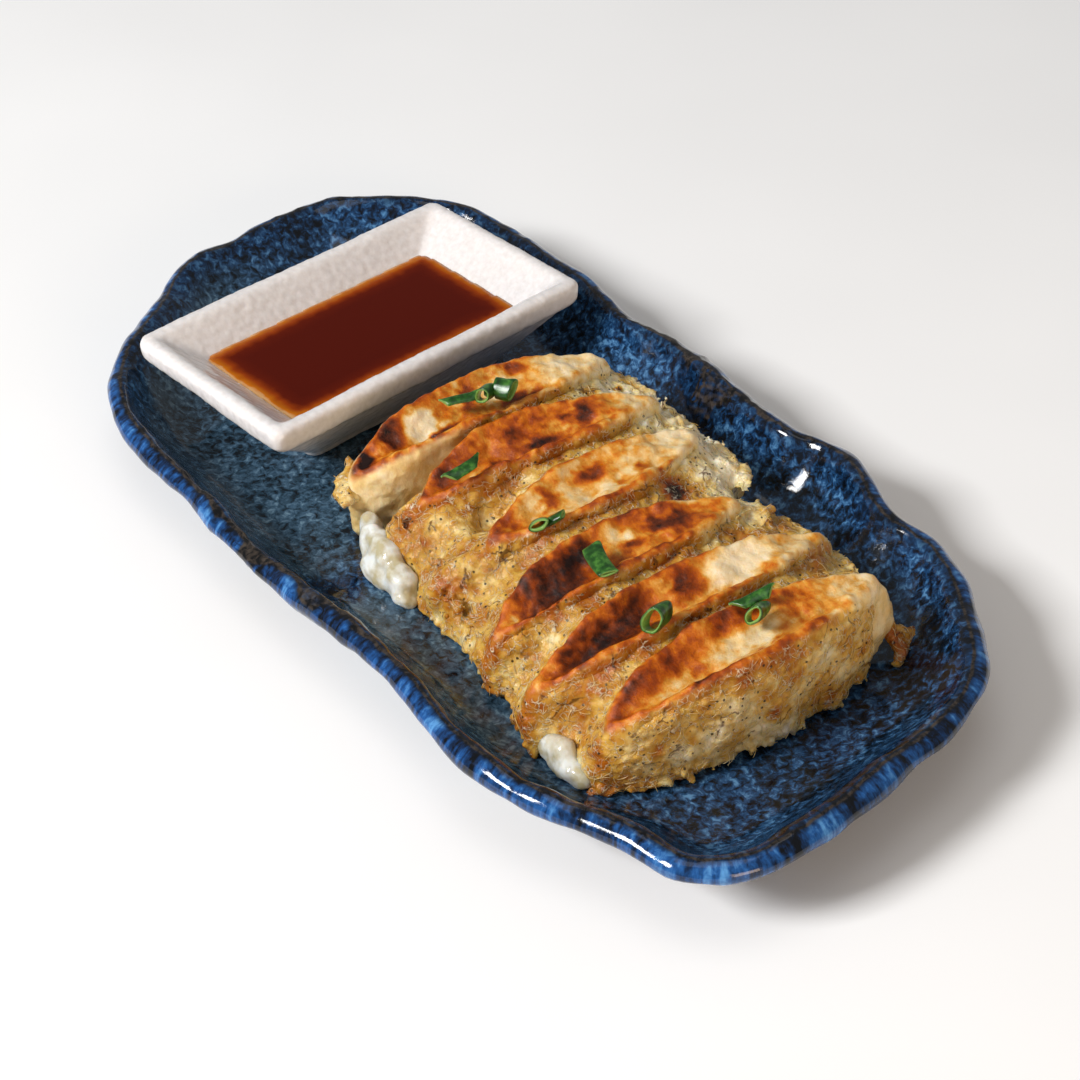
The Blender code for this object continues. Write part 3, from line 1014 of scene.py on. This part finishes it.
# %% Ridges
# the lace runs on from the tips: start and end (x, y, z), radius
RIDGES = [
    ((8, -29, 25), (4, -35, 19), 4.2),
    ((7, -31, 23), (10, -36, 15), 3.8),
    ((31, -26, 24), (27, -41, 17), 3.4),
    ((56, -40, 22), (52, -44, 16), 3.4),
    ((77, -44, 22), (74, -47, 15), 3.4),
    ((98, -38, 23), (96, -44, 14), 3.6),
]
for start, end, radius in RIDGES:
    bpy.ops.object.select_all(action="DESELECT")
    leg = Vector(end) - Vector(start)
    bpy.ops.mesh.primitive_uv_sphere_add(segments=16, ring_count=10, radius=1 * MM)
    ridge = bpy.context.object
    ridge.data.transform(Matrix.Diagonal((radius, radius, leg.length / 2 + radius, 1)))
    ridge.data.transform(leg.to_track_quat("Z", "Y").to_matrix().to_4x4())
    ridge.data.transform(Matrix.Translation((Vector(start) + leg / 2) * MM))
    lace = join([lace, ridge], "lace_work")
print("ridges", len(RIDGES))

# %% One skin over all of it
PUFF = 5.0  # how far it swells, so that the gaps close
SKIN = 1.0  # how far it stays proud of the dumplings
COARSE, MEDIUM, FINE = 1.3, 1.1, 0.66  # voxel sizes
modify(lace, "REMESH", mode="VOXEL", voxel_size=COARSE * MM)
modify(lace, "DISPLACE", strength=PUFF * MM, mid_level=0)
modify(lace, "REMESH", mode="VOXEL", voxel_size=COARSE * MM)
modify(lace, "DISPLACE", strength=-(PUFF - SKIN) * MM, mid_level=0)
modify(lace, "REMESH", mode="VOXEL", voxel_size=MEDIUM * MM)
modify(lace, "SMOOTH", factor=0.5, iterations=2)
print("lace body", len(lace.data.polygons))

# %% Lace hems
bpy.ops.mesh.primitive_ico_sphere_add(subdivisions=1, radius=1 * MM)
bead = bpy.context.object
# line (x, y, z), how many beads, how far they stray, smallest and largest radius
HEMS = [
    (
        ((-13, 41, 24.5), (-6, 43.2, 24), (10, 43, 24), (24, 42.8, 24), (44, 41.8, 24), (50, 36, 24)),
        620, 0.9, 0.4, 0.9,
    ),
    (((-10, 39, 26.2), (10, 39, 26), (28, 39, 26), (42, 37, 26)), 300, 1.8, 0.4, 0.8),
    (
        ((50, 29, 25), (58, 33.4, 24.4), (66, 34, 24), (74, 36.5, 23.6), (86, 37, 23.6), (94, 35, 23)),
        520, 1.0, 0.4, 0.9,
    ),
    (((54, 19, 31.5), (59, 25, 30.5), (63, 31, 27)), 120, 1.8, 0.9, 2.0),
    (((20, -36, 20), (30, -40, 20), (38, -40, 17), (48, -40, 17)), 60, 1.6, 0.5, 1.0),
    (((101, 35, 17), (102.5, 39, 13), (104.5, 44.5, 10)), 60, 0.7, 0.5, 1.0),
    (((102, 36, 15), (106, 38, 11), (108.5, 34, 9.2)), 70, 0.8, 0.5, 1.1),
    (((106, 38, 11), (107, 41.5, 9.6)), 30, 0.5, 0.5, 0.8),
    (((-20, -34, 24), (-16, -38.5, 23), (-12, -40, 21)), 70, 0.9, 1.3, 2.2),
]
places = []
for line, count, stray, small, large in HEMS:
    for _ in range(count):
        spot = along_line(line, random.random())
        spot += [random.gauss(0, sideways) for sideways in (stray, stray, stray * 0.4)]
        spot[2] = max(spot[2], PLATE_FLOOR + 0.9)
        radius = small + (large - small) * random.random() ** 2
        places.append(Matrix.Translation(Vector(spot)) @ Matrix.Scale(radius, 4))
print("hem beads", len(places))

# %% Frayed foot
# the foot of the lace frays where it meets the plate
FOOT_BEADS = 1100
spots, facing = points_of(lace), normals_of(lace)
foot = np.nonzero((spots[:, 2] > 8) & (spots[:, 2] < 11) & (np.abs(facing[:, 2]) < 0.75))[0]
for index in np.random.default_rng(3).choice(foot, FOOT_BEADS):
    spot = spots[index] + facing[index] * random.uniform(-0.5, 0.8)
    spot[2] = PLATE_FLOOR + random.uniform(0.4, 3.4)
    radius = 0.45 + 0.75 * random.random() ** 2
    places.append(Matrix.Translation(Vector(spot)) @ Matrix.Scale(radius, 4))
lace = join([lace, copies_of(bead, places, "hem_beads")], "lace_work")
bpy.data.objects.remove(bead)
modify(lace, "REMESH", mode="VOXEL", voxel_size=FINE * MM)
edit_all(lace)
bpy.ops.mesh.bisect(
    plane_co=(0, 0, PLATE_FLOOR * MM), plane_no=(0, 0, 1), use_fill=True, clear_inner=True
)
end_edit()
blisters = lumps("lace_blisters", "CLOUDS", 1.9, noise_depth=1)
folds = lumps("lace_folds", "CLOUDS", 8, noise_depth=1)
modify(lace, "SMOOTH", factor=0.5, iterations=1)
modify(lace, "DISPLACE", texture=folds, strength=2.2 * MM, mid_level=0.55)
modify(lace, "DISPLACE", texture=blisters, strength=1.0 * MM, mid_level=0.5)
print("lace", len(lace.data.polygons))

# %% Keep the lace under the fried faces
# millimetres in from a face's outline, and how far below the face the lace has to stay there
INWARD, CLEARANCE = [-4.5, -0.5, 1.5], [0.9, 1.6, 3.6]
UNDER_SKIN = 0.8  # how far below a dumpling's own skin it stays
ABOVE_ALL = 60  # a height above everything, from which rays look down
held = 0
spots = points_of(lace)
for number, dumpling in enumerate(dumplings):
    along, across, inside = on_face(spots, number)
    ceiling = face_height(along, across, number) - np.interp(inside, INWARD, CLEARANCE)
    over = (inside > INWARD[0]) & (spots[:, 2] > ceiling)
    spots[over, 2] = ceiling[over]
    faces = [tuple(face.vertices) for face in dumpling.data.polygons]
    surface = BVHTree.FromPolygons(points_of(dumpling).tolist(), faces)
    for index in np.nonzero(inside > 0.3)[0]:
        x, y, z = spots[index]
        hit = surface.ray_cast(Vector((x, y, ABOVE_ALL)), Vector((0, 0, -1)))[0]
        if hit and z > hit.z - UNDER_SKIN:
            spots[index, 2] = max(hit.z - UNDER_SKIN, PLATE_FLOOR)
            held += 1
place_points(lace, spots)
paint(lace, "crisp_and_shade", lace_browning_and_shade(points_of(lace)))
print("points held under a dumpling's skin", held)

# %% Lace material
crisp_and_shade, tree, shader, where = new_material("fried_batter_lace")
batter_colour, batter_height = batter_look(tree, where)
relief = add(tree, "Bump", {"Height": batter_height, "Strength": 0.9, "Distance": 0.75 * MM})
finish = {
    "Base Color": batter_colour,
    "Roughness": 0.17,
    "IOR": 1.48,
    "Specular IOR Level": 0.5,
    "Subsurface Weight": 0.35,
    "Subsurface Radius": (1.0, 0.6, 0.28),
    "Subsurface Scale": 1.6 * MM,
    "Normal": relief,
}
set_inputs(tree, shader, finish)
piece(lace, "batter_lace", crisp_and_shade)

# %% [markdown]
# ### Steamed wrapper at the tips
#
# At two tips the pleated hem of the wrapper slipped out below the lace: it only steamed, so
# it is white, slippery and half clear. A few squashed balls overlap where each flap lies;
# a remesh melts them into one body, and Displace folds it.

# %% Flap shapes
# x, y, z, then half sizes along x, y and z
FLAPS = [
    (-6.4, -38.0, 15.0, 3.8, 3.0, 4.8),
    (-1.4, -39.6, 13.2, 5.6, 4.0, 6.0),
    (5.0, -40.6, 13.2, 6.6, 4.2, 6.0),
    (5.0, -42.6, 10.6, 7.4, 4.0, 4.2),
    (12.0, -41.4, 11.4, 6.0, 4.0, 5.0),
    (15.0, -42.8, 9.2, 4.6, 3.2, 2.8),
    (86.6, -46.8, 11.4, 5.6, 3.2, 4.8),
    (88.4, -47.8, 9.6, 5.0, 3.0, 3.0),
    (92.6, -46.6, 9.8, 4.6, 3.0, 3.2),
    (81.6, -46.6, 11.0, 4.2, 3.0, 3.8),
]
balls = []
for x, y, z, half_x, half_y, half_z in FLAPS:
    bpy.ops.object.select_all(action="DESELECT")
    bpy.ops.mesh.primitive_ico_sphere_add(subdivisions=3, radius=1 * MM)
    ball = bpy.context.object
    ball.data.transform(Matrix.Diagonal((half_x, half_y, half_z, 1)))
    ball.data.transform(Matrix.Translation(Vector((x, y, z)) * MM))
    balls.append(ball)
flaps = join(balls, "flaps_work")
modify(flaps, "REMESH", mode="VOXEL", voxel_size=0.55 * MM)
modify(flaps, "SMOOTH", factor=0.5, iterations=24)
pleats = lumps("flap_pleats", "CLOUDS", 4.5, noise_depth=1)
modify(flaps, "DISPLACE", texture=pleats, strength=1.5 * MM, mid_level=0.5)
modify(flaps, "DISPLACE", texture=blisters, strength=0.3 * MM, mid_level=0.5)
spots = points_of(flaps)
spots[:, 2] = np.maximum(spots[:, 2], PLATE_FLOOR)
place_points(flaps, spots)
print("flaps", len(flaps.data.polygons), "faces")

# %% Steamed wrapper
steamed_wrapper, tree, shader, where = new_material("wheat_wrapper_steamed")
veins = add(tree, "TexNoise", {"Vector": where, "Scale": per_mm(4), "Detail": 4.0})
milk = add(
    tree, "ValToRGB", {0: veins}, stops=[(0.36, "#bdb392"), (0.48, "#d0cdbf"), (0.62, "#e6e9e6")]
)
relief = add(tree, "Bump", {"Height": veins, "Strength": 0.35, "Distance": 0.4 * MM})
finish = {
    "Base Color": milk,
    "Roughness": 0.12,
    "Subsurface Weight": 0.85,
    "Subsurface Radius": (1.0, 0.85, 0.65),
    "Subsurface Scale": 3.0 * MM,
    "Normal": relief,
}
set_inputs(tree, shader, finish)
piece(flaps, "steamed_wrapper_flaps", steamed_wrapper)

# %% [markdown]
# ### Threads in the lace
#
# Where bubbles burst, thin curved threads of batter stay behind. One thread is modelled, a
# thin bar bent into an arc, and hundreds of copies are laid on the lace in random turns.

# %% One thread
THICK, LONG = 0.06, 3.0  # radius and length
BENT_SIDE, BENT_UP = 0.28, 0.2
bpy.ops.mesh.primitive_cylinder_add(
    vertices=4, radius=THICK * MM, depth=LONG * MM, rotation=(0, math.pi / 2, 0)
)
thread = bpy.context.object
apply_place(thread)
bpy.ops.object.mode_set(mode="EDIT")
for cut_mm in (-0.9, -0.3, 0.3, 0.9):
    bpy.ops.mesh.select_all(action="SELECT")
    bpy.ops.mesh.bisect(plane_co=(cut_mm * MM, 0, 0), plane_no=(1, 0, 0))
end_edit()
arc = points_of(thread)
arc[:, 1] += BENT_SIDE * (1 - (arc[:, 0] / (LONG / 2)) ** 2)
arc[:, 2] += BENT_UP * (1 - (arc[:, 0] / (LONG / 2)) ** 2)
place_points(thread, arc)
print("one thread", len(thread.data.polygons), "faces")

# %% Threads on the lace
THREADS = 1100
centres = np.array([p.center for p in lace.data.polygons]) / MM
facing = np.array([p.normal for p in lace.data.polygons])
front = step(0.2, 0.7, facing[:, 0]) * step(88, 96, centres[:, 0])
near_tips = step(-22, -32, centres[:, 1]) * step(-0.1, 0.5, facing[:, 2] - facing[:, 1])
far_tips = step(18, 30, centres[:, 1]) * step(0.1, 0.6, facing[:, 2])
chance = (1.2 * front + 0.45 * near_tips + 0.8 * far_tips + 0.1) * (centres[:, 2] > 9)
share = chance / chance.sum()
chosen = np.random.default_rng(5).choice(len(centres), THREADS, replace=False, p=share)
places = []
for index in chosen:
    normal = Vector(facing[index])
    lie = normal.to_track_quat("Z", "Y").to_matrix().to_4x4()
    spin = Matrix.Rotation(random.uniform(0, math.tau), 4, "Z")
    size = random.uniform(0.5, 1.25)
    places.append(Matrix.Translation(Vector(centres[index])) @ lie @ spin @ Matrix.Scale(size, 4))
threads = copies_of(thread, places, "threads_work")
bpy.data.objects.remove(thread)
print("threads", len(places))

# %% Thread material
dried, tree, shader, where = new_material("dried_batter_thread")
pale = add(tree, "TexNoise", {"Vector": where, "Scale": per_mm(8)})
tone = add(tree, "ValToRGB", {0: pale}, stops=[(0.35, "#d6ae5c"), (0.65, "#f0dfae")])
set_inputs(tree, shader, {"Base Color": tone, "Roughness": 0.25})
piece(threads, "batter_threads", dried)

# %% [markdown]
# ## Spring onion
#
# Rings and strips cut from the hollow green leaf. Each is a short open tube, pressed flat to
# its own degree and given its wall by Solidify: waxy deep green outside, paler inside.

# %% Onion leaf
onion, tree, shader, where = new_material("spring_onion_leaf_cut")
ribs = add(tree, "TexNoise", {"Vector": where, "Scale": per_mm(1.8), "Detail": 3.0})
leaf = add(
    tree, "ValToRGB", {0: ribs}, stops=[(0.3, "#0d2b07"), (0.5, "#215217"), (0.7, "#4f8433")]
)
inner_node = add(tree, "Attribute", attribute_name="inner").outputs["Fac"]
leaf_mix = add(
    tree, "Mix", {FACTOR: inner_node, COLOUR_A: leaf, COLOUR_B: "#7da554"}, data_type="RGBA"
)
finish = {
    "Base Color": leaf_mix,
    "Roughness": 0.28,
    "Subsurface Weight": 0.15,
    "Subsurface Radius": (0.5, 1.0, 0.3),
    "Subsurface Scale": 0.8 * MM,
}
set_inputs(tree, shader, finish)
print("leaf", len(tree.nodes), "nodes")

# %% Onion slices
LEAF_WALL, CUT_EDGE, LEAF_BEND, LEAF_WRINKLE = 0.7, 0.1, 0.02, 0.22
# place (x, y, z), length, radius, flattening, then yaw, pitch and roll in degrees, and the
# slant of the cut
SLICES = [
    ((-12.0, -5.0, 36.4), 9.0, 1.5, 0.35, 68, 4, 10, 0.7),
    ((-9.3, 0.4, 37.2), 4.4, 2.7, 0.7, -60, 16, 50, 0.2),
    ((-7.2, 5.0, 37.6), 5.0, 2.9, 0.66, 30, 6, 40, 0.2),
    ((-10.8, 2.4, 36.6), 4.6, 1.2, 0.5, -30, 0, 0, 0.4),
    ((12.2, -20.7, 35.6), 9.0, 1.6, 0.3, 92, 8, 15, 0.9),
    ((39.6, -14.4, 33.6), 6.4, 1.5, 0.55, 48, 34, 0, 0.2),
    ((38.4, -17.6, 33.0), 3.0, 2.7, 0.5, -30, 30, 24, 0.3),
    ((60.9, -17.1, 35.8), 12.0, 2.4, 0.36, -18, 4, 12, 0.12),
    ((86.9, -20.4, 37.4), 5.0, 3.9, 0.62, -64, 20, 66, 0.2),
    ((95.0, 1.4, 37.0), 8.4, 1.5, 0.4, 70, 16, 10, 0.9),
    ((99.0, -1.6, 36.8), 4.6, 2.9, 0.6, -62, 26, 60, 0.3),
]
slices = []
for place, length, radius, flat, yaw, pitch, roll, slant in SLICES:
    bpy.ops.object.select_all(action="DESELECT")
    bpy.ops.mesh.primitive_cylinder_add(
        vertices=24,
        radius=radius * MM,
        depth=length * MM,
        end_fill_type="NOTHING",
        rotation=(0, math.pi / 2, 0),
    )
    tube = bpy.context.object
    apply_place(tube)
    edit_all(tube)
    bpy.ops.mesh.subdivide(number_cuts=1)
    end_edit()
    spots = points_of(tube)
    spots[:, 0] += slant * spots[:, 1] * np.sign(spots[:, 0])
    spots[:, 2] *= flat
    spots[:, 1] += LEAF_BEND * spots[:, 0] ** 2
    place_points(tube, spots)
    modify(tube, "SOLIDIFY", thickness=LEAF_WALL * MM, offset=-1)
    modify(tube, "BEVEL", width=CUT_EDGE * MM, segments=1, limit_method="ANGLE")
    modify(tube, "SUBSURF", levels=1, render_levels=1)
    spots = points_of(tube)
    across = np.hypot(spots[:, 1] - LEAF_BEND * spots[:, 0] ** 2, spots[:, 2] / flat)
    paint(tube, "inner", step(radius * 0.95, radius * 0.74, across))
    wrinkles = [wander(spots, 3, 3 * axis + len(slices)) for axis in range(3)]
    place_points(tube, spots + LEAF_WRINKLE * np.stack(wrinkles, 1))
    tube.location = Vector(place) * MM
    tube.rotation_euler = (math.radians(roll), math.radians(-pitch), math.radians(yaw))
    apply_place(tube)
    slices.append(tube)
for number, tube in enumerate(slices, start=1):
    piece(tube, f"spring_onion_{number}", onion)
